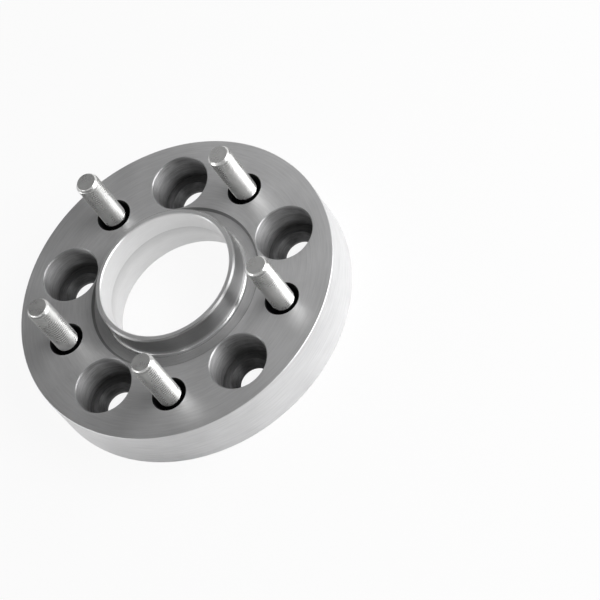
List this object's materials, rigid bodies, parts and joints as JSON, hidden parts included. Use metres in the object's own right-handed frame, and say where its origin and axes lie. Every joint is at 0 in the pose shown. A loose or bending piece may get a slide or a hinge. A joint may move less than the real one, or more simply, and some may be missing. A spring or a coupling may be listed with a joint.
{
  "type": "wheel spacer",
  "caption": "Round aluminium wheel spacer with a raised centring lip, deep hub nut pockets and pressed-in threaded wheel studs between them.",
  "frame": {"origin": "centre of the back face, the face that sits on the wheel hub", "axes": "+Z along the bore axis, out of the face the wheel sits on; +Y through the first wheel stud; +X completes the right-handed frame"},
  "size_m": [0.166, 0.166, 0.0579],
  "materials": {
    "disc_aluminium": "satin, turned",
    "stud_steel": "bright zinc plated"
  },
  "bodies": {
    "root": {"spacer_body": "disc_aluminium", "wheel_stud_1": "stud_steel", "wheel_stud_2": "stud_steel", "wheel_stud_3": "stud_steel", "wheel_stud_4": "stud_steel", "wheel_stud_5": "stud_steel"}
  },
  "joints": []
}
